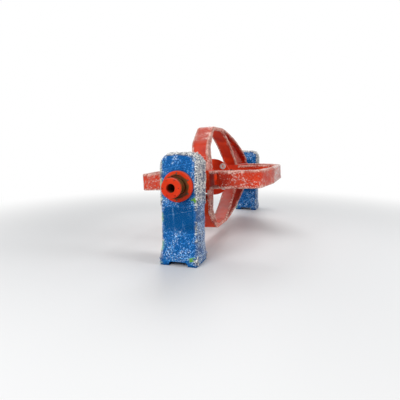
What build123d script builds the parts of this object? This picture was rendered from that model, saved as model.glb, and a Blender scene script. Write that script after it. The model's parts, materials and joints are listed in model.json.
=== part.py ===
from build123d import *
import os

# Cable laying-up machine: a welded rotor of two crossed loops turns in two pedestals.
# The machine's axis runs along Y, the front pedestal stands toward -Y, and X points to its right.
# The origin lies on the floor, under the middle of the whole machine. All sizes are in millimetres.

# Whole machine
axis_height = 1068.0
pedestal_spacing = 4800.0
rotor_rest_turn = -3.0

# Pedestal base
base_width = 520.0
base_depth = 460.0
base_height = 92.0
base_arch_width = 270.0
base_arch_height = 56.0
base_arch_radius = 40.0
base_corner_radius = 18.0
foot_hole_pitch = 400.0
foot_hole_edge = 22.0
foot_hole_radius = 9.0

# Pedestal column
column_width = 484.0
column_depth = 372.0
column_corner_radius = 26.0

# Bearing head
head_width = 500.0
head_depth = 384.0
head_top_rise = 424.0
head_bottom_drop = 268.0
head_shoulder_radius = 168.0
head_rim_chamfer = 10.0
head_skirt_chamfer = 8.0
bearing_seat_radius = 140.0
bearing_length = 220.0

# Bearing covers
cover_radius = 204.0
cover_thickness = 64.0
cover_recess_radius = 150.0
cover_recess_depth = 34.0
cover_edge = 6.0
inner_cover_radius = 176.0
inner_cover_thickness = 20.0

# Hollow shafts
shaft_bore_radius = 58.0
journal_radius = 84.0
journal_fit = 0.05
collar_radius = 108.0
collar_step = 24.0
neck_radius = 92.0
coupling_radius = 130.0
coupling_thickness = 38.0
coupling_reach = 273.0
coupling_edge = 5.0
coupling_bolt_circle_radius = 108.0
coupling_bolt_count = 6
coupling_bolt_hole_radius = 8.0

# Clearance between what turns and what stands
running_gap = 6.0

# Rotor hubs, at stations behind the front pedestal's gap
hub_half = 150.0
hub_edge = 12.0
hub_to_head = 103.0
front_hub_start = 420.0
front_hub_end = 720.0
rear_hub_start = 2560.0
rear_hub_end = 3680.0

# Rotor loops, in a plane of station along the axis and radius from it
band_width = 250.0
flange_thickness = 24.0
web_thickness = 18.0
crown_depth = 44.0
wide_reach = 1040.0
wide_nose_station = 310.0
wide_nose_drop = 95.0
wide_crown_start = 1150.0
wide_crown_end = 2250.0
tall_reach = 830.0
tall_nose_station = 520.0
tall_nose_drop = 270.0
tall_crown_start = 860.0
tall_crown_end = 1480.0
leg_root_inset = 12.0
leg_tip_depth = 130.0
nose_corner_radius = 130.0
crown_corner_radius = 150.0
inner_corner_radius = 110.0
rear_root_inset = 40.0
rear_root_rise = 252.0
rear_bulge_height = 90.0
inner_bulge_height = 60.0
crown_joint_margin = 40.0
leg_joint_drop = 200.0
root_box_height = 180.0
root_box_depth = 140.0
root_cheek_thickness = 20.0

# Guide disc inside the cage, on a tube from the front hub
guide_tube_radius = 82.0
guide_disc_station = 1180.0
guide_disc_radius = 310.0
guide_disc_thickness = 20.0
guide_hole_circle_radius = 250.0
guide_hole_count = 4
guide_hole_radius = 34.0

front_y = -pedestal_spacing / 2
head_face = head_depth / 2
head_bottom = axis_height - head_bottom_drop
rotor_front = front_y + head_face + hub_to_head

nodes = {}


def about_axis(turn):
    """Placement that turns a shape about the machine's axis."""
    return Pos(0, 0, axis_height) * Rot(0, turn, 0) * Pos(0, 0, -axis_height)


def along_axis(outline, start, length):
    """Solid of an X-Z outline that runs along Y from start."""
    return extrude(Plane((0, start, 0), x_dir=(1, 0, 0), z_dir=(0, -1, 0)) * outline, -length)


def turned(points):
    """Solid turned about the machine's axis from station and radius pairs."""
    plane = Plane((0, 0, axis_height), x_dir=(0, 1, 0), z_dir=(1, 0, 0))
    return revolve(plane * make_face(Polyline(*points, close=True)), Axis((0, 0, axis_height), (0, 1, 0)))


# Pedestal base: a cast foot block with an arched passage, so that it stands on two feet
def pedestal_base():
    block = Pos(0, 0, base_height / 2) * Box(base_width, base_depth, base_height)
    block = fillet(block.edges().filter_by(Axis.Z), base_corner_radius)
    arch = RectangleRounded(base_arch_width, 2 * base_arch_height, base_arch_radius)
    block -= along_axis(arch, -base_depth, 2 * base_depth)
    places = GridLocations(foot_hole_pitch, base_depth - 2 * foot_hole_edge, 2, 2)
    holes = Sketch() + places * Circle(foot_hole_radius)
    return block - extrude(holes, base_height)


# Column: a welded box with rounded corners, closed at the top by the bearing head
def pedestal_column():
    height = head_bottom - base_height
    outline = RectangleRounded(column_width, column_depth, column_corner_radius)
    return Pos(0, 0, base_height) * extrude(outline, height)


# Bearing head: a deeper housing with round shoulders that overhangs the column, bored for the bearing
def pedestal_head():
    top = axis_height + head_top_rise
    height = top - head_bottom
    outline = Pos(0, head_bottom + height / 2) * Rectangle(head_width, height)
    outline = fillet(outline.vertices().group_by(Axis.Y)[-1], head_shoulder_radius)
    head = along_axis(outline, -head_face, head_depth)
    skirt = head.faces().sort_by(Axis.Z)[0].edges().filter_by(Axis.X)
    head = chamfer(skirt, head_skirt_chamfer)
    ends = head.faces().sort_by(Axis.Y)
    rims = (ends[0].edges() + ends[-1].edges()).filter_by(lambda edge: edge.center().Z > axis_height)
    head = chamfer(rims, head_rim_chamfer)
    bore = along_axis(Pos(0, axis_height) * Circle(bearing_seat_radius), -head_depth, 2 * head_depth)
    return head - bore


# Bearing: the ring that seats in the head and carries the shaft's journal
def pedestal_bearing():
    start = -bearing_length / 2
    inner = journal_radius + journal_fit
    return turned([(start, inner), (start, bearing_seat_radius),
                   (-start, bearing_seat_radius), (-start, inner)])


# Outer bearing cover: the large flanged ring on the head's face, recessed round the shaft
def outer_cover():
    face = -head_face - cover_thickness
    bore = collar_radius + running_gap
    return turned([(-head_face, bore), (-head_face, cover_radius), (face + cover_edge, cover_radius),
                   (face, cover_radius - cover_edge), (face, cover_recess_radius),
                   (face + cover_recess_depth, cover_recess_radius - cover_edge),
                   (face + cover_recess_depth, bore)])


# Inner bearing cover: the plain ring on the side of the head that faces the rotor
def inner_cover():
    face = head_face + inner_cover_thickness
    bore = journal_radius + running_gap
    return turned([(head_face, bore), (head_face, inner_cover_radius), (face, inner_cover_radius),
                   (face, bore)])


# Hollow shaft: a stepped forging with a coupling flange, bored through for the cable
def hollow_shaft(inner_end):
    end = -head_face - coupling_reach
    collar_end = -head_face - cover_thickness - collar_step
    shoulder = head_face + inner_cover_thickness + running_gap
    shaft = turned([
        (inner_end, shaft_bore_radius), (inner_end, collar_radius), (shoulder, collar_radius),
        (shoulder, journal_radius), (-bearing_length / 2 - running_gap, journal_radius),
        (-bearing_length / 2 - running_gap, collar_radius), (collar_end, collar_radius),
        (collar_end, neck_radius), (end + coupling_thickness, neck_radius),
        (end + coupling_thickness, coupling_radius), (end + coupling_edge, coupling_radius),
        (end, coupling_radius - coupling_edge), (end, shaft_bore_radius)])
    places = PolarLocations(coupling_bolt_circle_radius, coupling_bolt_count)
    holes = Pos(0, axis_height) * (Sketch() + places * Circle(coupling_bolt_hole_radius))
    return shaft - along_axis(holes, end, coupling_thickness)


# Rotor hub: a square box with broken edges that the four arms are welded to
def rotor_hub(start, length):
    outline = Pos(0, axis_height) * Rectangle(2 * hub_half, 2 * hub_half)
    outline = chamfer(outline.vertices(), hub_edge)
    bore = Pos(0, axis_height) * Circle(shaft_bore_radius)
    return along_axis(outline - bore, rotor_front + start, length)


# Rotor loop: rails bent round at the crown, with a web that widens toward the rear hub
def loop_outlines(reach, nose_station, nose_drop, crown_start, crown_end):
    """The outer and the inner outline of an arm's loop, both run on a little into the hubs."""
    root = hub_half - 2 * flange_thickness
    nose_rise = reach - nose_drop
    rear_end = rear_hub_end - rear_root_inset
    rear_middle = ((crown_end + rear_end) / 2, (reach + rear_root_rise) / 2 + rear_bulge_height)
    outer = make_face(Polyline((rear_end, rear_root_rise), (rear_end, root),
                               (front_hub_start + leg_root_inset, root), (nose_station, nose_rise),
                               (crown_start, reach), (crown_end, reach))
                      + ThreePointArc((crown_end, reach), rear_middle, (rear_end, rear_root_rise)))
    outer = fillet(nearest(outer, nose_station, nose_rise), nose_corner_radius)
    outer = fillet(nearest(outer, crown_start, reach), crown_corner_radius)
    inside = reach - crown_depth
    inner_middle = ((crown_end + rear_hub_start) / 2, (inside + hub_half) / 2 + inner_bulge_height)
    leg_corner = (nose_station + leg_tip_depth, nose_rise - leg_tip_depth / 2)
    crown_corner = (crown_start + crown_depth, inside)
    inner = make_face(Polyline((rear_hub_start, hub_half), (rear_hub_start, root), (front_hub_end, root),
                               (front_hub_end, hub_half), leg_corner, crown_corner, (crown_end, inside))
                      + ThreePointArc((crown_end, inside), inner_middle, (rear_hub_start, hub_half)))
    inner = fillet(nearest(inner, *leg_corner), inner_corner_radius)
    inner = fillet(nearest(inner, *crown_corner), inner_corner_radius)
    return outer, inner


def nearest(face, station, rise):
    """The corner of a face that lies nearest to a point of its plane."""
    return face.vertices().sort_by_distance((station, rise))[0]


def loop_plates(outer, inner):
    """The outer rail, the inner rail and the web of one arm's loop, lying above the axis."""
    above = Pos(rear_hub_end / 2, hub_half + wide_reach) * Rectangle(2 * rear_hub_end, 2 * wide_reach)
    outer_strip = (outer - offset(outer, -flange_thickness)) & above
    inner_strip = ((offset(inner, flange_thickness) - inner) & outer & above) - outer_strip
    web_strip = ((outer - inner) & above) - outer_strip - inner_strip
    plane = Plane((0, rotor_front, axis_height), x_dir=(0, 1, 0), z_dir=(1, 0, 0))
    outer_rail = extrude(plane * outer_strip, band_width / 2, both=True)
    inner_rail = extrude(plane * inner_strip, band_width / 2, both=True)
    web = extrude(plane * web_strip, web_thickness / 2, both=True)
    return outer_rail, inner_rail, web


# Leg root: beside the front hub each leg is an open box, with a sunk back plate between two cheeks
def root_box(outer, inner):
    """The plates of a leg's root, and the space in front of its back plate."""
    top = hub_half + root_box_height
    reach = 2 * (front_hub_end - front_hub_start)
    zone = Pos(front_hub_start, hub_half + root_box_height / 2) * Rectangle(reach, root_box_height)
    ledge = Pos(front_hub_start, top - flange_thickness / 2) * Rectangle(reach, flange_thickness)
    sunk = offset(outer, -root_box_depth)
    back_plate = (sunk - offset(sunk, -web_thickness)) & zone
    shelf = (outer - sunk) & ledge
    opening = ((outer - sunk) & zone) - shelf
    plane = Plane((0, rotor_front, axis_height), x_dir=(0, 1, 0), z_dir=(1, 0, 0))
    inside = band_width / 2 - root_cheek_thickness
    leg = plane * ((outer - inner) & zone)
    cheeks = extrude(leg, band_width / 2, both=True) - extrude(leg, inside, both=True)
    plates = cheeks + extrude(plane * back_plate, inside, both=True) + extrude(plane * shelf, inside, both=True)
    return plates, extrude(plane * opening, inside, both=True)


def between(shape, start, end):
    """The part of a shape between two stations along the rotor."""
    size = 4 * wide_reach
    slab = Box(size, end - start, size)
    return shape & (Pos(0, rotor_front + (start + end) / 2, axis_height) * slab)


def beyond(shape, rise):
    """The part of a shape that lies more than a rise above the axis."""
    size = 4 * wide_reach
    return shape & (Pos(0, 0, axis_height + rise + size / 2) * Box(size, 2 * pedestal_spacing, size))


# Guide tube: the pipe that carries the cable from the front hub to the guide disc
def guide_tube():
    start = rotor_front + front_hub_end
    end = rotor_front + guide_disc_station
    return turned([(start, shaft_bore_radius), (start, guide_tube_radius),
                   (end, guide_tube_radius), (end, shaft_bore_radius)])


# Guide disc: the round plate at the tube's end, with one guide hole between each two arms
def guide_disc():
    start = rotor_front + guide_disc_station
    end = start + guide_disc_thickness
    disc = turned([(start, shaft_bore_radius), (start, guide_disc_radius),
                   (end, guide_disc_radius), (end, shaft_bore_radius)])
    places = PolarLocations(guide_hole_circle_radius, guide_hole_count, start_angle=180 / guide_hole_count)
    holes = Pos(0, axis_height) * (Sketch() + places * Circle(guide_hole_radius))
    return disc - along_axis(holes, start, guide_disc_thickness)


arms = {
    "upper": (0, tall_reach, tall_nose_station, tall_nose_drop, tall_crown_start, tall_crown_end),
    "right": (90, wide_reach, wide_nose_station, wide_nose_drop, wide_crown_start, wide_crown_end),
    "lower": (180, tall_reach, tall_nose_station, tall_nose_drop, tall_crown_start, tall_crown_end),
    "left": (270, wide_reach, wide_nose_station, wide_nose_drop, wide_crown_start, wide_crown_end),
}

for place, turn in (("front", 0), ("rear", 180)):
    stand = Rot(0, 0, turn) * Pos(0, front_y, 0)
    nodes[place + "_base"] = stand * pedestal_base()
    nodes[place + "_column"] = stand * pedestal_column()
    nodes[place + "_bearing_head"] = stand * pedestal_head()
    nodes[place + "_bearing"] = stand * pedestal_bearing()
    nodes[place + "_outer_cover"] = stand * outer_cover()
    nodes[place + "_inner_cover"] = stand * inner_cover()

rest = about_axis(rotor_rest_turn)
front_shaft_end = head_face + hub_to_head + front_hub_start
rear_shaft_end = pedestal_spacing - head_face - hub_to_head - rear_hub_end
nodes["front_shaft"] = rest * Pos(0, front_y, 0) * hollow_shaft(front_shaft_end)
nodes["rear_shaft"] = rest * Rot(0, 0, 180) * Pos(0, front_y, 0) * hollow_shaft(rear_shaft_end)
nodes["front_hub"] = rest * rotor_hub(front_hub_start, front_hub_end - front_hub_start)
nodes["rear_hub"] = rest * rotor_hub(rear_hub_start, rear_hub_end - rear_hub_start)
nodes["guide_tube"] = rest * guide_tube()
nodes["guide_disc"] = rest * guide_disc()
for arm, (turn, *sizes) in arms.items():
    reach, nose_station, nose_drop, crown_start, crown_end = sizes
    outlines = loop_outlines(*sizes)
    outer_rail, inner_rail, web = loop_plates(*outlines)
    root_plates, root_opening = root_box(*outlines)
    joint = crown_end + crown_joint_margin
    bend = between(outer_rail + inner_rail + web, 0, joint) - root_opening + root_plates
    crown = beyond(bend, reach - nose_drop - leg_joint_drop)
    place = rest * about_axis(turn)
    nodes[arm + "_front_leg"] = place * (bend - crown)
    nodes[arm + "_crown"] = place * crown
    nodes[arm + "_rear_outer_rail"] = place * between(outer_rail, joint, rear_hub_end)
    nodes[arm + "_rear_inner_rail"] = place * between(inner_rail, joint, rear_hub_end)
    nodes[arm + "_rear_web"] = place * between(web, joint, rear_hub_end)

os.makedirs("parts", exist_ok=True)
for name, shape in nodes.items():
    export_step(shape, "parts/" + name + ".step")
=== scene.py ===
import json
import math

import bmesh
import bpy
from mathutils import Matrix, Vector, noise
from mathutils.bvhtree import BVHTree


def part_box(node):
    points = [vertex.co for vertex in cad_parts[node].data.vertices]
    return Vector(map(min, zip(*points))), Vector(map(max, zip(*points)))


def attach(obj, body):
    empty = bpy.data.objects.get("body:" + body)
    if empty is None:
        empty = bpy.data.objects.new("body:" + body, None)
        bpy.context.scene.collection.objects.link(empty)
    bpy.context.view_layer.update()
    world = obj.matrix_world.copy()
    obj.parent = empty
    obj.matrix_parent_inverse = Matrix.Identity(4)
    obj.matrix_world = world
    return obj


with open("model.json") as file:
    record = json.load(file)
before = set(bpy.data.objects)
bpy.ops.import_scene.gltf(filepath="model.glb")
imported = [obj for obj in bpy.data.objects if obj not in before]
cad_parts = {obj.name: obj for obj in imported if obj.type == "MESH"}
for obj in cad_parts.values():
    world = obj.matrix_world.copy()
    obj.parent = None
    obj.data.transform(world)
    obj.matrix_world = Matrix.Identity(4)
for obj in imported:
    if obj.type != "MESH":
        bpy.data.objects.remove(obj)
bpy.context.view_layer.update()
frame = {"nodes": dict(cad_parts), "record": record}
nodes = frame["nodes"]

# Camera
# The photograph is taken from eye height, right of the machine's axis and in front of it, looking a
# little down. Its place was worked out from the edges of the two pedestals.
photo_width_px = 400
focal_length_px = 364
sensor_width_mm = 36
eye = (1.71, -7.0, 1.55)
eye_turned_left = math.radians(17.8)
eye_tilted_down = math.radians(8.0)

camera = bpy.data.objects.new("photo_camera", bpy.data.cameras.new("photo_camera"))
camera.data.sensor_width = sensor_width_mm
camera.data.lens = sensor_width_mm * focal_length_px / photo_width_px
camera.location = eye
camera.rotation_euler = (math.radians(90) - eye_tilted_down, 0, eye_turned_left)
bpy.context.scene.collection.objects.link(camera)
bpy.context.scene.camera = camera
bpy.context.scene.view_settings.view_transform = "Standard"

# Studio
# A plain pale floor with a white background, a large soft lamp in front and a little to the left, one
# from the right that catches the film's creases, and one from above and behind.
floor_colour = (0.70, 0.71, 0.72, 1)
background_colour = (1.0, 1.0, 1.0, 1)
floor_half = 60
fade_start = 2.7
fade_end = 7.5
sky_strength = 0.42
lamps = (("key_lamp", (-1.8, -9.0, 5.3), (0, -1.0, 0.8), 4.0, 430),
         ("side_lamp", (7.0, -2.5, 4.5), (0, -1.0, 0.9), 2.5, 230),
         ("top_lamp", (-1.0, 3.5, 7.0), (0, 0.5, 0.8), 4.0, 290))


def add_node(tree, kind, settings=None, inputs=None):
    """A node with its settings, and its inputs set to values or linked to other nodes' outputs."""
    made = tree.nodes.new(kind)
    for key, value in (settings or {}).items():
        setattr(made, key, value)
    for key, value in (inputs or {}).items():
        if isinstance(key, int):
            socket = made.inputs[key]
        else:
            socket = next(s for s in made.inputs if s.name == key and s.enabled)
        if isinstance(value, bpy.types.NodeSocket):
            tree.links.new(value, socket)
        else:
            socket.default_value = value
    return made


def maths(tree, operation, *values):
    """One step of arithmetic on up to three values."""
    return add_node(tree, "ShaderNodeMath", {"operation": operation}, dict(enumerate(values))).outputs[0]


def vector_maths(tree, operation, *values):
    """One step on vectors: its outputs are a Vector and a Value."""
    return add_node(tree, "ShaderNodeVectorMath", {"operation": operation}, dict(enumerate(values))).outputs


def ranged(tree, value, low, high, to_low=0.0, to_high=1.0):
    """How far a value lies between low and high, as a share or between two other values."""
    return add_node(tree, "ShaderNodeMapRange", {},
                    {"Value": value, "From Min": low, "From Max": high, "To Min": to_low,
                     "To Max": to_high}).outputs["Result"]


def new_material(name):
    """An empty material with its output node."""
    material = bpy.data.materials.new(name)
    material.use_nodes = True
    material.node_tree.nodes.clear()
    return material, add_node(material.node_tree, "ShaderNodeOutputMaterial")


world = bpy.data.worlds.new("studio")
bpy.context.scene.world = world
world.use_nodes = True
sky = world.node_tree
sky.nodes.clear()
ray = add_node(sky, "ShaderNodeLightPath").outputs
mirrored = maths(sky, "MAXIMUM", ray["Is Glossy Ray"], ray["Is Transmission Ray"])
seen = maths(sky, "MAXIMUM", ray["Is Camera Ray"], mirrored)
sky_light = add_node(sky, "ShaderNodeBackground", {}, {"Strength": sky_strength})
sky_seen = add_node(sky, "ShaderNodeBackground", {}, {"Color": background_colour, "Strength": 1.0})
sky_mix = add_node(sky, "ShaderNodeMixShader", {},
                   {0: seen, 1: sky_light.outputs[0], 2: sky_seen.outputs[0]})
add_node(sky, "ShaderNodeOutputWorld", {}, {"Surface": sky_mix.outputs[0]})

floor_material, floor_output = new_material("pale_floor")
floor_tree = floor_material.node_tree
floor_grain = add_node(floor_tree, "ShaderNodeTexNoise", {}, {"Scale": 3.0, "Detail": 6.0}).outputs["Fac"]
floor_shader = add_node(floor_tree, "ShaderNodeBsdfPrincipled", {},
                        {"Base Color": floor_colour,
                         "Roughness": ranged(floor_tree, floor_grain, 0, 1, 0.45, 0.65)})
floor_where = add_node(floor_tree, "ShaderNodeTexCoord").outputs["Object"]
floor_distance = vector_maths(floor_tree, "LENGTH", floor_where)["Value"]
floor_fade = add_node(floor_tree, "ShaderNodeMapRange", {"interpolation_type": "SMOOTHSTEP"},
                      {"Value": floor_distance, "From Min": fade_start, "From Max": fade_end})
floor_ray = add_node(floor_tree, "ShaderNodeLightPath").outputs["Is Camera Ray"]
floor_seen = maths(floor_tree, "MULTIPLY", floor_fade.outputs["Result"], floor_ray)
floor_far = add_node(floor_tree, "ShaderNodeEmission", {}, {"Color": background_colour, "Strength": 1.0})
floor_mix = add_node(floor_tree, "ShaderNodeMixShader", {},
                     {0: floor_seen, 1: floor_shader.outputs[0], 2: floor_far.outputs[0]})
floor_tree.links.new(floor_mix.outputs[0], floor_output.inputs["Surface"])
floor_mesh = bpy.data.meshes.new("floor")
floor_corners = [(x * floor_half, y * floor_half, 0) for x, y in ((-1, -1), (1, -1), (1, 1), (-1, 1))]
floor_mesh.from_pydata(floor_corners, [], [(0, 1, 2, 3)])
floor_mesh.materials.append(floor_material)
floor = bpy.data.objects.new("floor", floor_mesh)
bpy.context.scene.collection.objects.link(floor)

for name, place, aim, width, power in lamps:
    lamp = bpy.data.objects.new(name, bpy.data.lights.new(name, "AREA"))
    lamp.data.size = width
    lamp.data.energy = power
    lamp.location = place
    lamp.rotation_euler = (Vector(aim) - Vector(place)).to_track_quat("-Z", "Y").to_euler()
    bpy.context.scene.collection.objects.link(lamp)

# Machine paint
# Blue enamel on the pedestals, orange enamel on the covers and shafts, and red-orange enamel on the
# rotor. It is brushed and rolled on thickly, worn to primer at its edges and dulled by hall dust.
dust_colour = (0.30, 0.28, 0.25, 1)
gloss_spread = 0.22


def clouds(tree, where, scale, detail):
    """An even noise at a place, as a value and as a colour."""
    inputs = {"Vector": where, "Scale": scale, "Detail": detail}
    return add_node(tree, "ShaderNodeTexNoise", {}, inputs).outputs


def blended(tree, share, first, second):
    """A colour that goes from the first to the second by a share."""
    return add_node(tree, "ShaderNodeMix", {"data_type": "RGBA"},
                    {"Factor": share, "A": first, "B": second}).outputs["Result"]


def group_tree(name, inputs, outputs):
    """An empty shader node group with number inputs and outputs, and its two end nodes' sockets."""
    tree = bpy.data.node_groups.new(name, "ShaderNodeTree")
    for label, value in inputs.items():
        tree.interface.new_socket(label, in_out="INPUT", socket_type="NodeSocketFloat").default_value = value
    for label in outputs:
        tree.interface.new_socket(label, in_out="OUTPUT", socket_type="NodeSocketFloat")
    return tree, tree.nodes.new("NodeGroupInput").outputs, tree.nodes.new("NodeGroupOutput").inputs


def use_group(tree, group, **values):
    """A group placed in a material's tree with its own values."""
    made = add_node(tree, "ShaderNodeGroup", {"node_tree": group})
    for label, value in values.items():
        made.inputs[label.replace("_", " ").capitalize()].default_value = value
    return made.outputs


enamel, given, result = group_tree("enamel_wear", {"Edge": 0.006, "Patch": 3.0, "Peel": 160.0},
                                   ("Edge wear", "Patches", "Dust", "Height"))
where = add_node(enamel, "ShaderNodeTexCoord").outputs["Object"]
rounded = add_node(enamel, "ShaderNodeBevel", {"samples": 6}, {"Radius": given["Edge"]}).outputs["Normal"]
facing = add_node(enamel, "ShaderNodeNewGeometry").outputs["Normal"]
bend = vector_maths(enamel, "DOT_PRODUCT", rounded, facing)["Value"]
chipped = ranged(enamel, clouds(enamel, where, 24.0, 5.0)["Fac"], 0.46, 0.62)
enamel.links.new(maths(enamel, "MULTIPLY", ranged(enamel, bend, 0.99, 0.86), chipped), result["Edge wear"])
patches = add_node(enamel, "ShaderNodeTexNoise", {},
                   {"Vector": where, "Scale": given["Patch"], "Detail": 4.0, "Distortion": 0.4})
enamel.links.new(patches.outputs["Fac"], result["Patches"])
upward = add_node(enamel, "ShaderNodeSeparateXYZ", {}, {0: facing}).outputs["Z"]
settled = ranged(enamel, upward, 0.3, 1.0, to_high=0.55)
mottled = clouds(enamel, where, 9.0, 6.0)["Fac"]
enamel.links.new(maths(enamel, "MULTIPLY", settled, mottled), result["Dust"])
peel = clouds(enamel, where, given["Peel"], 2.0)["Fac"]
ripple = clouds(enamel, where, 7.0, 2.0)["Fac"]
enamel.links.new(maths(enamel, "MULTIPLY_ADD", ripple, 3.0, peel), result["Height"])


def enamel_material(name, dark, light, primer, gloss, shine):
    """A thick enamel between two shades, with primer showing at worn edges and dust on top."""
    material, output = new_material(name)
    tree = material.node_tree
    wear = use_group(tree, enamel)
    paint = blended(tree, ranged(tree, wear["Patches"], 0.32, 0.68), dark, light)
    bare = blended(tree, wear["Edge wear"], paint, primer)
    rough = ranged(tree, wear["Patches"], 0, 1, gloss, gloss + gloss_spread)
    bump = add_node(tree, "ShaderNodeBump", {},
                    {"Strength": 0.16, "Distance": 0.002, "Height": wear["Height"]})
    shader = add_node(tree, "ShaderNodeBsdfPrincipled", {},
                      {"Base Color": blended(tree, wear["Dust"], bare, dust_colour), "Roughness": rough,
                       "Normal": bump.outputs[0], "Specular IOR Level": shine, "Coat Weight": shine / 4,
                       "Coat Roughness": 0.1})
    tree.links.new(shader.outputs[0], output.inputs["Surface"])
    return material


blue_enamel = enamel_material("blue_enamel", dark=(0.0, 0.050, 0.17, 1), light=(0.0, 0.085, 0.27, 1),
                              primer=(0.16, 0.31, 0.45, 1), gloss=0.34, shine=0.08)
red_enamel = enamel_material("red_enamel", dark=(0.44, 0.014, 0.003, 1), light=(0.78, 0.052, 0.008, 1),
                             primer=(0.80, 0.42, 0.34, 1), gloss=0.36, shine=0.14)

# Orange covers and shafts
# The bearing covers and the shafts' coupling flanges are turned castings in orange enamel. Brown
# grease has run out of the bearing into the cover's recess and over the shaft behind its flange.
grease_colour = (0.10, 0.055, 0.016, 1)
grease_reach = 0.128
grease_creep = 0.06
grease_edge = 0.012
coupling_thickness = 0.038
flange_margin = (0.002, 0.01)

shaft_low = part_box("front_shaft")[0]
cover_low, cover_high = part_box("front_outer_cover")
axis_height = (cover_low.z + cover_high.z) / 2
orange_enamel = enamel_material("orange_enamel", dark=(0.58, 0.026, 0.003, 1),
                                light=(0.76, 0.048, 0.006, 1), primer=(0.30, 0.10, 0.06, 1), gloss=0.30,
                                shine=0.14)
orange_tree = orange_enamel.node_tree
orange_shader = next(n for n in orange_tree.nodes if n.type == "BSDF_PRINCIPLED")
where = add_node(orange_tree, "ShaderNodeTexCoord").outputs["Object"]
from_axis = vector_maths(orange_tree, "SUBTRACT", where, (0, 0, axis_height))["Vector"]
across = vector_maths(orange_tree, "MULTIPLY", from_axis, (1, 0, 1))["Vector"]
radius = vector_maths(orange_tree, "LENGTH", across)["Value"]
runs = clouds(orange_tree, where, 18.0, 4.0)["Fac"]
reached = maths(orange_tree, "MULTIPLY_ADD", runs, -grease_creep, radius)
inside = ranged(orange_tree, reached, grease_reach + grease_edge, grease_reach)
along = add_node(orange_tree, "ShaderNodeSeparateXYZ", {}, {0: where}).outputs["Y"]
behind = maths(orange_tree, "ABSOLUTE", along)
flange_back = -shaft_low.y - coupling_thickness
covered = ranged(orange_tree, behind, flange_back - flange_margin[0], flange_back - flange_margin[1])
greasy = maths(orange_tree, "MULTIPLY", inside, covered)
thick = ranged(orange_tree, runs, 0.3, 0.55, 0.55, 0.96)
smeared = maths(orange_tree, "MULTIPLY", greasy, thick)
painted = orange_shader.inputs["Base Color"].links[0].from_socket
greased = blended(orange_tree, smeared, painted, grease_colour)
orange_tree.links.new(greased, orange_shader.inputs["Base Color"])

# Bearing steel
# The bearing rings behind the covers are ground steel with a film of grease. They lie deep in the
# heads, so only their edges can be seen past the shafts.


def two_shade_material(name, patch, dark, light, smoothest, roughest, metallic):
    """A worn finish between two shades, rougher where it is lighter."""
    material, output = new_material(name)
    tree = material.node_tree
    patches = use_group(tree, enamel, patch=patch)["Patches"]
    shader = add_node(tree, "ShaderNodeBsdfPrincipled", {},
                      {"Base Color": blended(tree, patches, dark, light), "Metallic": metallic,
                       "Roughness": ranged(tree, patches, 0, 1, smoothest, roughest)})
    tree.links.new(shader.outputs[0], output.inputs["Surface"])
    return material


bearing_steel = two_shade_material("bearing_steel", patch=12.0, dark=(0.20, 0.18, 0.14, 1),
                                   light=(0.5, 0.5, 0.5, 1), smoothest=0.2, roughest=0.5, metallic=1.0)

# Painted castings and plates
# The pedestals are castings and closed boxes of plate, and the rotor is welded up from plate on two
# turned shafts. Every solid of the frame keeps its own shape and gets the finish of its kind.
for name, solid in nodes.items():
    if name.endswith("_bearing"):
        finish = bearing_steel
    elif name.endswith(("_base", "_column", "_bearing_head", "_inner_cover")):
        finish = blue_enamel
    elif name.endswith(("_shaft", "_outer_cover")):
        finish = orange_enamel
    else:
        finish = red_enamel
    solid.data.materials.clear()
    solid.data.materials.append(finish)

# Cover screws
# Socket-head cap screws of dark oiled steel hold each bearing cover to its head: a ring of six in
# the large outer cover's face and six in the plain inner one. They stay with the pedestals.
screw_count = 6
screw_head_radius = 0.010
screw_head_height = 0.009
screw_socket_radius = 0.0052
screw_edge = 0.0012
screw_sides = 24
socket_corners = 6
outer_screw_ring = 0.177
inner_screw_ring = 0.150
seat_sink = 0.0005

inner_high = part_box("front_inner_cover")[1]


def ring_mesh(name, rings, looped):
    """A mesh of rings of points, each joined to the next, and either looped or closed at its ends."""
    shape = bmesh.new()
    loops = [[shape.verts.new(point) for point in ring] for ring in rings]
    pairs = list(zip(loops, loops[1:])) + ([(loops[-1], loops[0])] if looped else [])
    for below, above in pairs:
        for i in range(len(below)):
            j = (i + 1) % len(below)
            shape.faces.new((below[i], below[j], above[j], above[i]))
    if not looped:
        shape.faces.new(reversed(loops[0]))
        shape.faces.new(loops[-1])
    bmesh.ops.recalc_face_normals(shape, faces=shape.faces)
    mesh = bpy.data.meshes.new(name)
    shape.to_mesh(mesh)
    shape.free()
    return mesh


def circle_points(radius, height, sides, corners=0):
    """Points of a circle at a height, or of a polygon with so many corners and that inner radius."""
    points = []
    for i in range(sides):
        angle = 2 * math.pi * i / sides
        reach = radius
        if corners:
            share = angle % (2 * math.pi / corners) - math.pi / corners
            reach = radius / math.cos(share)
        points.append((reach * math.cos(angle), reach * math.sin(angle), height))
    return points


screw_rings = [circle_points(screw_head_radius, -seat_sink, screw_sides),
               circle_points(screw_head_radius, screw_head_height - screw_edge, screw_sides),
               circle_points(screw_head_radius - screw_edge, screw_head_height, screw_sides),
               circle_points(screw_socket_radius, screw_head_height, screw_sides, socket_corners),
               circle_points(screw_socket_radius, screw_head_height / 2, screw_sides, socket_corners)]
screw_form = bpy.data.objects.new("screw_form", ring_mesh("screw_form", screw_rings, looped=False))
screw_steel = two_shade_material("screw_steel", patch=60.0, dark=(0.03, 0.025, 0.02, 1),
                                 light=(0.16, 0.15, 0.14, 1), smoothest=0.3, roughest=0.6, metallic=0.8)


def maker_tree(name, inputs):
    """An empty Geometry Nodes tree with named inputs, and its two end nodes' sockets."""
    tree = bpy.data.node_groups.new(name, "GeometryNodeTree")
    for label, kind in inputs.items():
        tree.interface.new_socket(label, in_out="INPUT", socket_type="NodeSocket" + kind)
    tree.interface.new_socket("Geometry", in_out="OUTPUT", socket_type="NodeSocketGeometry")
    return tree, tree.nodes.new("NodeGroupInput").outputs, tree.nodes.new("NodeGroupOutput").inputs


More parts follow.
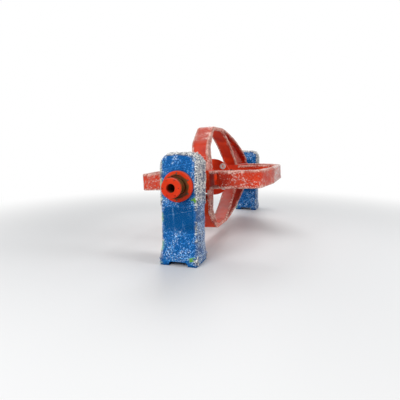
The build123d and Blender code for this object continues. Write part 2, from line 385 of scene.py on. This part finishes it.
def end_tree(tree, shape, material, result):
    """The tree's last two nodes: instances made real, and the material."""
    solid = add_node(tree, "GeometryNodeRealizeInstances", {}, {"Geometry": shape})
    coloured = add_node(tree, "GeometryNodeSetMaterial", {},
                        {"Geometry": solid.outputs["Geometry"], "Material": material})
    tree.links.new(coloured.outputs["Geometry"], result["Geometry"])


part_ring, given, result = maker_tree(
    "part_ring", {"Part": "Object", "Count": "Int", "Ring radius": "Float", "First angle": "Float",
                  "Turn": "Vector", "Place": "Vector", "Material": "Material"})
part = add_node(part_ring, "GeometryNodeObjectInfo", {}, {"Object": given["Part"]})
ring = add_node(part_ring, "GeometryNodeMeshCircle", {},
                {"Vertices": given["Count"], "Radius": given["Ring radius"]})
placed = add_node(part_ring, "GeometryNodeInstanceOnPoints", {},
                  {"Points": ring.outputs["Mesh"], "Instance": part.outputs["Geometry"]})
first = add_node(part_ring, "ShaderNodeCombineXYZ", {}, {"Z": given["First angle"]})
started = add_node(part_ring, "GeometryNodeTransform", {},
                   {"Geometry": placed.outputs["Instances"], "Rotation": first.outputs["Vector"]})
faced = add_node(part_ring, "GeometryNodeTransform", {},
                 {"Geometry": started.outputs["Geometry"], "Rotation": given["Turn"],
                  "Translation": given["Place"]})
end_tree(part_ring, faced.outputs["Geometry"], given["Material"], result)


def grown(name, tree, body, **values):
    """A plain mesh made by a Geometry Nodes tree from its named inputs, riding on a body."""
    maker = bpy.data.objects.new(name, bpy.data.meshes.new(name + "_maker"))
    bpy.context.scene.collection.objects.link(maker)
    grow = maker.modifiers.new("grow", "NODES")
    grow.node_group = tree
    sockets = {item.name: item.identifier for item in tree.interface.items_tree if item.in_out == "INPUT"}
    for label, value in values.items():
        grow[sockets[label.replace("_", " ").capitalize()]] = value
    shown = maker.evaluated_get(bpy.context.evaluated_depsgraph_get())
    mesh = bpy.data.meshes.new_from_object(shown)
    maker.modifiers.clear()
    maker.data = mesh
    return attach(maker, body)


def cover_screws(name, face, end, ring_radius):
    """The screws of one cover: end is 1 where they point toward -Y and -1 where toward +Y."""
    screws = grown(name, part_ring, "stand", part=screw_form, count=screw_count, ring_radius=ring_radius,
                   first_angle=math.pi / screw_count, turn=(end * math.pi / 2, 0, 0),
                   place=(0, face, axis_height), material=screw_steel)


cover_screws("front_outer_screws", cover_low.y, 1, outer_screw_ring)
cover_screws("front_inner_screws", inner_high.y, -1, inner_screw_ring)
cover_screws("rear_outer_screws", -cover_low.y, -1, outer_screw_ring)
cover_screws("rear_inner_screws", -inner_high.y, 1, inner_screw_ring)

# Guide eyes
# Four flanged rings of pale wear-resistant ceramic sit in the guide disc's holes, so that the cores
# don't chafe on the plate. Each is pressed in from the front.
eye_flange_radius = 0.052
eye_flange_thickness = 0.009
eye_seat_radius = 0.0336
eye_bore_radius = 0.022
eye_lip = 0.005
eye_ring_radius = 0.25
eye_count = 4
eye_sides = 40
eye_curve_steps = 5
rest_turn = math.radians(-3.0)

disc_low, disc_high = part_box("guide_disc")
disc_thickness = disc_high.y - disc_low.y
eye_rings = [circle_points(eye_bore_radius, -disc_thickness - eye_lip, eye_sides),
             circle_points(eye_seat_radius, -disc_thickness - eye_lip, eye_sides),
             circle_points(eye_seat_radius, 0, eye_sides), circle_points(eye_flange_radius, 0, eye_sides)]
for i in range(eye_curve_steps + 1):
    swing = math.pi / 2 * i / eye_curve_steps
    eye_rings.append(circle_points(eye_flange_radius - eye_flange_thickness * (1 - math.cos(swing)),
                                   eye_flange_thickness * math.sin(swing), eye_sides))
for i in range(eye_curve_steps + 1):
    swing = math.pi / 2 * i / eye_curve_steps
    eye_rings.append(circle_points(eye_bore_radius + eye_flange_thickness * (1 - math.sin(swing)),
                                   eye_flange_thickness * math.cos(swing), eye_sides))
eye_form = bpy.data.objects.new("eye_form", ring_mesh("eye_form", eye_rings, looped=True))
for face in eye_form.data.polygons:
    face.use_smooth = True

ceramic = two_shade_material("guide_ceramic", patch=30.0, dark=(0.42, 0.40, 0.37, 1),
                             light=(0.80, 0.78, 0.74, 1), smoothest=0.12, roughest=0.3, metallic=0.0)
grown("guide_eyes", part_ring, "rotor", part=eye_form, count=eye_count, ring_radius=eye_ring_radius,
      first_angle=math.pi / eye_count - rest_turn, turn=(math.pi / 2, 0, 0),
      place=(0, disc_low.y, axis_height), material=ceramic)

# Weld beads
# The rotor is welded up from plate. A rippled fillet bead runs along both sides of each web, round
# each leg and rail where it stands on its hub, and round the shafts and the tube, all painted over.
bead_radius = 0.0065
bead_ripple = 0.011
bead_sides = 7
bead_swell = (0.72, 1.2)
seam_reach = 0.0015
merge_reach = 0.00001
square_on = 0.99
web_half = 0.009
hub_half = 0.150
collar_radius = 0.108
tube_radius = 0.082
round_seam_sides = 60
arm_turns = {"upper": 0, "right": 90, "lower": 180, "left": 270}

weld_bead, given, result = maker_tree(
    "weld_bead", {"Path": "Object", "Radius": "Float", "Ripple": "Float", "Sides": "Int",
                  "Material": "Material"})
path = add_node(weld_bead, "GeometryNodeObjectInfo", {}, {"Object": given["Path"]})
line = add_node(weld_bead, "GeometryNodeMeshToCurve", {}, {"Mesh": path.outputs["Geometry"]})
stepped = add_node(weld_bead, "GeometryNodeResampleCurve", {"mode": "LENGTH"},
                   {"Curve": line.outputs["Curve"], "Length": given["Ripple"]})
ripples = add_node(weld_bead, "ShaderNodeTexNoise", {}, {"Scale": 75.0, "Detail": 1.0}).outputs["Fac"]
section = add_node(weld_bead, "GeometryNodeCurvePrimitiveCircle", {},
                   {"Resolution": given["Sides"], "Radius": given["Radius"]})
swept = add_node(weld_bead, "GeometryNodeCurveToMesh", {},
                 {"Curve": stepped.outputs["Curve"], "Profile Curve": section.outputs["Curve"],
                  "Scale": ranged(weld_bead, ripples, 0.3, 0.7, *bead_swell)})
end_tree(weld_bead, swept.outputs["Mesh"], given["Material"], result)

centre = Vector((0, 0, axis_height))
seams = bmesh.new()


def arm_directions(arm):
    """The directions across an arm's band and out along the arm."""
    turn = math.radians(arm_turns[arm]) + rest_turn
    return Vector((math.cos(turn), 0, -math.sin(turn))), Vector((math.sin(turn), 0, math.cos(turn)))


def add_seams(part, chosen, left_out):
    """Seams along the border of a node's chosen faces, but for the edges that are left out."""
    form = bmesh.new()
    form.from_mesh(nodes[part].data)
    bmesh.ops.remove_doubles(form, verts=form.verts, dist=merge_reach)
    kept = {}
    for edge in form.edges:
        if sum(chosen(face) for face in edge.link_faces) == 1 and not left_out(edge):
            for corner in edge.verts:
                if corner not in kept:
                    kept[corner] = seams.verts.new(corner.co)
            seams.edges.new([kept[corner] for corner in edge.verts])
    form.free()


def add_arm_seams(arm):
    """The seams of one arm: along its webs and round the feet of its plates."""
    sideways, outward = arm_directions(arm)
    joint_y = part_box(arm + "_rear_web")[0].y
    leg_top = min((corner.co - centre).dot(outward) for corner in nodes[arm + "_crown"].data.vertices)

    def on_web(face):
        across = abs((face.calc_center_median() - centre).dot(sideways))
        return abs(face.normal.dot(sideways)) > square_on and across < web_half + seam_reach

    def at_foot(face):
        rise = (face.calc_center_median() - centre).dot(outward)
        return face.normal.dot(outward) < -square_on and rise < hub_half + seam_reach

    def at_joint(edge):
        crosses = all(abs(corner.co.y - joint_y) < seam_reach for corner in edge.verts)
        rises = all(abs((corner.co - centre).dot(outward) - leg_top) < seam_reach for corner in edge.verts)
        return crosses or rises

    for part in ("_front_leg", "_crown", "_rear_web"):
        add_seams(arm + part, on_web, at_joint)
    for part in ("_front_leg", "_rear_outer_rail", "_rear_inner_rail"):
        add_seams(arm + part, at_foot, lambda edge: False)


def add_round_seam(radius, y):
    """A seam round the machine's axis."""
    circle = circle_points(radius, 0, round_seam_sides)
    corners = [seams.verts.new((across, y, axis_height + rise)) for across, rise, _ in circle]
    for i in range(round_seam_sides):
        seams.edges.new((corners[i - 1], corners[i]))


for arm in arm_turns:
    add_arm_seams(arm)
add_round_seam(collar_radius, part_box("front_hub")[0].y)
add_round_seam(tube_radius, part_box("front_hub")[1].y)
add_round_seam(tube_radius, disc_low.y)
add_round_seam(collar_radius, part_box("rear_hub")[1].y)
seam_form = bpy.data.objects.new("seam_form", bpy.data.meshes.new("seam_form"))
seams.to_mesh(seam_form.data)
seams.free()
rotor_welds = grown("rotor_welds", weld_bead, "rotor", path=seam_form, radius=bead_radius,
                    ripple=bead_ripple, sides=bead_sides, material=red_enamel)

# Stretch film on the pedestals
# Each pedestal is wound in clear polythene film for delivery. It is drawn tight across the column
# under the head, crumpled everywhere else, and bunched into milky ridges along the edges.

# Its shell: how far it stands off, how high it is crumpled, and where it is cut back.
film_gap = 0.006
film_grain = 0.009
film_crease_pitch = 0.034
film_crease_height = 0.0065
film_crease_sharpness = 2.2
film_wave_pitch = 0.10
film_wave_height = 0.006
film_plain_relief = 0.7
film_bunch_relief = 1.1
film_flare_top = 0.26
film_foot_clear = 0.030
film_hole_margin = 0.008
film_cut_raggedness = 0.6
film_looks_down = -0.5
film_merge_reach = 0.001
# Where it is bunched: along edges, on the sides, and most at the crest of the head. A pair gives the
# distances at which a change begins and ends.
film_bunch_width = 0.048
film_turn = (0.005, 0.03)
film_column_milk = 0.30
film_head_milk = 0.42
film_head_begins = (-0.02, 0.15)
film_least_lump = 0.25
film_lump = 1.5
film_crest = 2.4
film_crest_drop = (0.01, 0.06)
film_thin_strip = 0.55
# Where it is drawn tight on the column, by height and by how far inside the corners.
film_tightest = 0.9
film_tight_bottom = (0.42, 0.52)
film_tight_top = (0.77, 0.80)
film_tight_inset = (0.01, 0.05)
# Where it is stained: along the head's left rim, and in smears, each a place and a width.
film_rim_stain = 0.6
film_rim_stain_width = (0.01, 0.07)
film_rim_stain_depth = (0.03, 0.09)
film_smears = ((0.215, -2.59, 0.90, 0.032), (0.19, -2.63, 0.10, 0.040))
film_smear_core = 0.6
film_smear_raggedness = 0.045
# Its small crumples, painted glints, painted highlight streak, long creases and laps, and how much each
# whitens it.
film_stir = 0.035
film_warp = 0.16
film_streak_stretch = 0.16
film_lap_slant = (-0.22, 0.16, 1)
film_lap_pitch = 0.31
film_lap_edge = (0.010, 0.002)
film_glints = (0.72, 0.04)
film_stain_milk = 0.65
film_painted_streak_whitening = 0.36
film_lap_milk = 0.30
film_crease_milk_and_highlight = 0.55
film_densest = 0.92
# The glint colour is that of painted highlights on the crumples, and the ridge colour also serves for the
# strongest of them.
film_colours = {"glint": (0.17, 0.50, 0.95, 1), "ridge": (0.92, 0.90, 0.85, 1), "veil": (0.0, 0.20, 0.70, 1),
                "fold": (0.23, 0.245, 0.27, 1), "stain": (0.16, 0.42, 0.04, 1)}

base_low, base_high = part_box("front_base")
column_low, column_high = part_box("front_column")
head_low, head_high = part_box("front_bearing_head")
cover_radius = (cover_high.x - cover_low.x) / 2
head_half = head_high.x
head_shoulder = 0.168
head_face = (head_high.y - head_low.y) / 2
pedestal_y = (head_low.y + head_high.y) / 2
column_half = (column_high.x, (column_high.y - column_low.y) / 2)
base_half = (base_high.x, (base_high.y - base_low.y) / 2)


def joined_parts(names):
    """Several nodes' meshes in one."""
    joined = bmesh.new()
    for part in names:
        joined.from_mesh(nodes[part].data)
    return joined


def even_skin(name, joined, grain):
    """The skin of a mesh of several solids, as an even grid of small faces. It uses the mesh up."""
    form = bpy.data.objects.new(name, bpy.data.meshes.new(name))
    joined.to_mesh(form.data)
    joined.free()
    bpy.context.scene.collection.objects.link(form)
    even = form.modifiers.new("even", "REMESH")
    even.mode = "VOXEL"
    even.voxel_size = grain
    shown = form.evaluated_get(bpy.context.evaluated_depsgraph_get())
    skin = bpy.data.meshes.new_from_object(shown)
    bpy.data.objects.remove(form)
    return skin


def smooth_step(value, low, high):
    """0 below low, 1 above high, and an even rise between them."""
    share = min(max((value - low) / (high - low), 0), 1)
    return share * share * (3 - 2 * share)


def ragged_share(point, scale):
    """A share of 0.6 to 1.4 that wanders over the surface."""
    return 0.6 + 0.8 * abs(noise.noise(point * scale))


def in_patches(point, scale, low, high):
    """0 to 1 in soft patches over the surface, which are smaller where the scale is larger."""
    return smooth_step(noise.noise(point * scale), low, high)


def film_relief(point):
    """How far crumpled film stands up at a point: broad waves with sharp creases on them."""
    near, next_near = noise.voronoi(point / film_crease_pitch)[0][:2]
    crease = 1 - min((next_near - near) * film_crease_sharpness, 1)
    return film_crease_height * crease + film_wave_height * noise.noise(point / film_wave_pitch)


def film_piece(name, skin, bunching, tightness, stain, bunch_relief, body, finish):
    """Film on a body from a skin, crumpled and marked by what three functions tell of each place."""
    sheet = bmesh.new()
    sheet.from_mesh(skin)
    sheet.normal_update()
    bunched = sheet.verts.layers.float.new("bunched")
    stained = sheet.verts.layers.float.new("stained")
    drawn_tight = sheet.verts.layers.float.new("tight")
    moved = []
    for corner in sheet.verts:
        gathered = bunching(corner.co)
        tight = tightness(corner.co)
        corner[drawn_tight] = tight
        corner[bunched] = gathered
        corner[stained] = stain(corner.co)
        relief = film_relief(corner.co) * (1 - tight) * (film_plain_relief + bunch_relief * gathered)
        moved.append((corner, corner.co + corner.normal * (film_gap + relief)))
    for corner, place in moved:
        corner.co = place
    for face in sheet.faces:
        face.smooth = True
    sheet.to_mesh(skin)
    sheet.free()
    piece = bpy.data.objects.new(name, skin)
    bpy.context.scene.collection.objects.link(piece)
    skin.materials.clear()
    skin.materials.append(finish)
    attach(piece, body)


# Besides the height of the crumples and the laps of the film, this group gives painted light: Glint picks
# random small cells as painted glints.
crumple, given, result = group_tree("film_crumple", {"Cell": 104.0},
                                    ("Glint", "Crease and highlight", "Painted streak", "Lap", "Height"))
where = add_node(crumple, "ShaderNodeTexCoord").outputs["Object"]
stir = clouds(crumple, where, 42.0, 5.0)
stirred = vector_maths(crumple, "MULTIPLY_ADD", stir["Color"], (film_stir,) * 3, where)["Vector"]
cells = add_node(crumple, "ShaderNodeTexVoronoi", {}, {"Vector": stirred, "Scale": given["Cell"]})
cell_value = add_node(crumple, "ShaderNodeSeparateColor", {}, {0: cells.outputs["Color"]}).outputs[0]
gusts = clouds(crumple, where, 6.0, 3.0)["Fac"]
threshold = ranged(crumple, gusts, 0.36, 0.60, 0.87, 0.62)
over = maths(crumple, "SUBTRACT", cell_value, threshold)
crumple.links.new(ranged(crumple, over, 0.0, 0.24), result["Glint"])
folds = add_node(crumple, "ShaderNodeTexVoronoi", {"feature": "DISTANCE_TO_EDGE"},
                 {"Vector": stirred, "Scale": given["Cell"]})
warp = clouds(crumple, where, 7.0, 2.0)["Color"]
warped = vector_maths(crumple, "MULTIPLY_ADD", warp, (film_warp,) * 3, stirred)["Vector"]
# Long creases: whitened partly as the film's own milky folds and partly as painted highlights along them.
long_folds = add_node(crumple, "ShaderNodeTexVoronoi", {"feature": "DISTANCE_TO_EDGE"},
                      {"Vector": warped, "Scale": 11.0})
long_fold = ranged(crumple, long_folds.outputs["Distance"], 0.045, 0.01)
broken = ranged(crumple, gusts, 0.42, 0.55)
crumple.links.new(maths(crumple, "MULTIPLY", long_fold, broken), result["Crease and highlight"])
# A painted reflection: soft upright bands of lamp light, whitened in where the film is drawn tight.
streak_space = vector_maths(crumple, "MULTIPLY", where, (1, 1, film_streak_stretch))["Vector"]
painted_streak_noise = clouds(crumple, streak_space, 17.0, 3.0)["Fac"]
crumple.links.new(ranged(crumple, painted_streak_noise, 0.56, 0.70), result["Painted streak"])
rising = vector_maths(crumple, "DOT_PRODUCT", stirred, film_lap_slant)["Value"]
turns = maths(crumple, "WRAP", rising, film_lap_pitch, 0.0)
crumple.links.new(ranged(crumple, turns, *film_lap_edge), result["Lap"])
crumple.links.new(maths(crumple, "MULTIPLY_ADD", folds.outputs["Distance"], 1.6, stir["Fac"]),
                  result["Height"])


def film_material(name, cell, colours, veil, milk):
    """Clear film: a thin veil where it is slack, pale where it is bunched and at its painted glints and
    painted highlights, with a stain.
    """
    material, output = new_material(name)
    tree = material.node_tree
    film = use_group(tree, crumple, cell=cell)
    bunched = add_node(tree, "ShaderNodeAttribute", {"attribute_name": "bunched"}).outputs["Fac"]
    stained = add_node(tree, "ShaderNodeAttribute", {"attribute_name": "stained"}).outputs["Fac"]
    tight = add_node(tree, "ShaderNodeAttribute", {"attribute_name": "tight"}).outputs["Fac"]
    slack = ranged(tree, tight, 0, 1, *film_glints)
    painted_streaks = maths(tree, "MULTIPLY", film["Painted streak"], tight)
    # Creases, partly milky film and partly painted highlight, show where the film is slack.
    creases = maths(tree, "MULTIPLY", film["Crease and highlight"], slack)
    # Painted glints: more where the film is slack, and more again where it is bunched.
    glints = maths(tree, "MULTIPLY", film["Glint"], slack)
    milk_and_glints = maths(tree, "MULTIPLY_ADD", film["Glint"], bunched, glints)
    for share, whitening in ((bunched, milk), (stained, film_stain_milk), (painted_streaks, film_painted_streak_whitening),
                             (film["Lap"], film_lap_milk), (creases, film_crease_milk_and_highlight)):
        milk_and_glints = maths(tree, "MULTIPLY_ADD", share, whitening, milk_and_glints)
    cover = ranged(tree, milk_and_glints, 0, 1, ranged(tree, tight, 0, 1, veil, 0), film_densest)
    whiter = ranged(tree, bunched, 0.05, 0.42)
    # The strongest painted glints turn to the ridge colour, as painted white highlights.
    sparkle = ranged(tree, film["Glint"], 0.72, 1.2)
    deep = blended(tree, whiter, colours["veil"], colours["fold"])
    bright = blended(tree, maths(tree, "MAXIMUM", whiter, sparkle), colours["glint"], colours["ridge"])
    doubled = blended(tree, ranged(tree, milk_and_glints, 0.04, 0.40), deep, bright)
    bump = add_node(tree, "ShaderNodeBump", {},
                    {"Strength": 0.5, "Distance": 0.006, "Height": film["Height"]})
    shader = add_node(tree, "ShaderNodeBsdfPrincipled", {},
                      {"Base Color": blended(tree, stained, doubled, colours["stain"]), "Roughness": 0.2,
                       "Specular IOR Level": 0.14, "Alpha": cover, "Normal": bump.outputs[0]})
    tree.links.new(shader.outputs[0], output.inputs["Surface"])
    return material


stretch_film = film_material("stretch_film", cell=88.0, colours=film_colours, veil=0.42, milk=0.16)


def head_edge_distance(point, end):
    """How far a point of the head's film is from the nearest rim between a face and the sides."""
    along = abs(point.y - end * pedestal_y)
    side = abs(point.x) - (head_half - head_shoulder)
    rise = point.z - (head_high.z - head_shoulder)
    if side > 0 and rise > 0:
        inward = head_shoulder - math.hypot(side, rise)
    else:
        inward = min(head_half - abs(point.x), head_high.z - point.z)
    return max(inward, head_face - along)


def pedestal_film(place, end):
    """The film on one pedestal; end is 1 for the front one and -1 for the rear one."""
    wrapped = joined_parts([place + "_base", place + "_column", place + "_bearing_head"])
    skin = even_skin(place + "_film", wrapped, film_grain)
    sheet = bmesh.new()
    sheet.from_mesh(skin)
    centre_y = end * pedestal_y
    for corner in sheet.verts:
        if base_high.z - film_grain < corner.co.z < film_flare_top:
            share = min((film_flare_top - corner.co.z) / (film_flare_top - base_high.z), 1)
            for axis, about in ((0, 0), (1, centre_y)):
                limit = column_half[axis] + share * (base_half[axis] - column_half[axis])
                reach = (corner.co[axis] - about) * limit / column_half[axis]
                corner.co[axis] = about + min(max(reach, -base_half[axis]), base_half[axis])
    bare = []
    for face in sheet.faces:
        middle = face.calc_center_median()
        ragged = 1 + film_cut_raggedness * noise.noise(middle * 20)
        radius = math.hypot(middle.x, middle.z - axis_height)
        if middle.z < film_foot_clear * ragged or radius < cover_radius + film_hole_margin * ragged:
            bare.append(face)
        elif face.normal.z < film_looks_down:
            bare.append(face)
    bmesh.ops.delete(sheet, geom=bare, context="FACES")
    bmesh.ops.remove_doubles(sheet, verts=sheet.verts, dist=film_merge_reach)
    bmesh.ops.recalc_face_normals(sheet, faces=sheet.faces)
    sheet.to_mesh(skin)
    sheet.free()

    def bunching(point):
        turned_away = 1 - smooth_step(column_half[0] - abs(point.x), *film_turn)
        if point.z > head_low.z:
            edge = head_edge_distance(point, end)
            behind_rim = smooth_step(head_face - abs(point.y - centre_y), *film_turn)
            turned_away = max(turned_away, behind_rim)
        else:
            edge = max(column_half[0] - abs(point.x), column_half[1] - abs(point.y - centre_y))
        ragged = ragged_share(point, 14)
        side = film_column_milk + film_head_milk * smooth_step(point.z - head_low.z, *film_head_begins)
        lumps = film_least_lump + film_lump * in_patches(point, 19, -0.15, 0.4)
        crest = film_crest * (1 - smooth_step(head_high.z - point.z, *film_crest_drop))
        strip = (1 - smooth_step(edge, 0, film_bunch_width * ragged)) * lumps * (1 + crest)
        if point.z < head_low.z or point.x < -head_half + head_shoulder / 2:
            strip *= film_thin_strip
        return max(strip, side * turned_away) * ragged

    def tightness(point):
        below = smooth_step(point.z, *film_tight_bottom)
        above = 1 - smooth_step(point.z, *film_tight_top)
        inward = smooth_step(column_half[0] - abs(point.x), *film_tight_inset)
        return film_tightest * below * above * inward

    def stain(point):
        behind_face = point.y - centre_y + head_face
        left = 1 - smooth_step(head_half + point.x, *film_rim_stain_width)
        left *= in_patches(point, 11, -0.1, 0.3)
        left *= 1 - smooth_step(behind_face, *film_rim_stain_depth)
        smeared = 0
        for x, y, z, width in film_smears:
            away = (point - Vector((x, y, z))).length + film_smear_raggedness * noise.noise(point * 42)
            smeared = max(smeared, 1 - smooth_step(away, width * film_smear_core, width))
        return max(film_rim_stain * left, smeared)

    film_piece(place + "_film", skin, bunching, tightness, stain, film_bunch_relief, "stand", stretch_film)


pedestal_film("front", 1)
pedestal_film("rear", -1)

# Stretch film on the rotor
# The loops are wound in the same film, arm by arm. It bridges the channels of the legs and crowns,
# doubles over the bands' edges, where it turns pale, and leaves the recesses of the rear webs open.
band_half = 0.125
band_film_grain = 0.011
band_film_edge = 0.034
band_film_edge_raggedness = 0.5
band_film_rim = 0.004
band_film_bunch_width = 0.054
band_film_single = 0.8
band_film_doubled = 0.9
band_film_bunch_relief = 0.15
# Where an arm's film is tighter, it also shows fewer painted glints and crease highlights.
band_film_tightness = {"upper": 0.15, "right": 0.15, "lower": 0.55, "left": 0.50}
band_film_starts = {"upper": 0.60, "right": 0.34, "lower": 1.0, "left": 0.34}
band_film_start_raggedness = 0.04
bare_front_station = 0.95
front_hub_start = 0.420
pale_stretch = (1.10, 2.40)
pale_stretch_ends = 0.15
pale_stretch_raggedness = 0.1
pale_reach = (0.94, 0.99)
bridge_half = 0.120
# The glint colour is that of painted highlights on the crumples.
band_film_colours = {"glint": (0.92, 0.60, 0.53, 1), "ridge": (0.88, 0.54, 0.45, 1),
                     "veil": (0.66, 0.085, 0.045, 1), "fold": (0.62, 0.24, 0.17, 1),
                     "stain": (0.84, 0.78, 0.75, 1)}

band_film = film_material("band_film", cell=58.0, colours=band_film_colours, veil=0.28, milk=0.32)
rotor_form = joined_parts(frame["record"]["behaviour"]["bodies"]["rotor"])
rotor_solid = BVHTree.FromBMesh(rotor_form)
rotor_form.free()
rotor_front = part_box("front_hub")[0].y - front_hub_start


def arm_film(arm):
    """The film on one arm's loop: over the band's edges and the faces that look outwards."""
    sideways, outward = arm_directions(arm)
    wrapped = joined_parts([arm + "_front_leg", arm + "_crown"])
    for corner in wrapped.verts:
        across = (corner.co - centre).dot(sideways)
        if abs(across) < web_half + seam_reach:
            corner.co += sideways * (math.copysign(bridge_half, across) - across)
    for part in ("_front_leg", "_crown", "_rear_outer_rail", "_rear_inner_rail", "_rear_web"):
        wrapped.from_mesh(nodes[arm + part].data)
    skin = even_skin(arm + "_film", wrapped, band_film_grain)
    sheet = bmesh.new()
    sheet.from_mesh(skin)
    sheet.normal_update()
    bare = []
    for face in sheet.faces:
        middle = face.calc_center_median()
        across = abs((middle - centre).dot(sideways))
        ragged = 1 + band_film_edge_raggedness * noise.noise(middle * 9)
        if across > band_half - band_film_edge * ragged:
            continue
        rise = (middle - centre).dot(outward) + band_film_start_raggedness * noise.noise(middle * 12)
        if rise < band_film_starts[arm] and middle.y - rotor_front < bare_front_station:
            bare.append(face)
        elif rotor_solid.ray_cast(middle + face.normal * band_film_grain, face.normal)[0] is not None:
            bare.append(face)
    bmesh.ops.delete(sheet, geom=bare, context="FACES")
    sheet.to_mesh(skin)
    sheet.free()

    def bunching(point):
        edge = band_half - abs((point - centre).dot(sideways))
        ragged = ragged_share(point, 11)
        doubled = band_film_single + band_film_doubled * in_patches(point, 7, -0.3, 0.4)
        return doubled * (1 - smooth_step(edge, band_film_rim, band_film_bunch_width * ragged)) * ragged

    def paleness(point):
        station = point.y - rotor_front + pale_stretch_raggedness * noise.noise(point * 6)
        begun = smooth_step(station, pale_stretch[0], pale_stretch[0] + pale_stretch_ends)
        ended = smooth_step(station, pale_stretch[1] - pale_stretch_ends, pale_stretch[1])
        far_out = smooth_step((point - centre).dot(outward), *pale_reach)
        return begun * (1 - ended) * far_out * in_patches(point, 26, -0.35, 0.25)

    film_piece(arm + "_film", skin, bunching, lambda point: band_film_tightness[arm], paleness,
               band_film_bunch_relief, "rotor", band_film)


for arm in arm_turns:
    arm_film(arm)
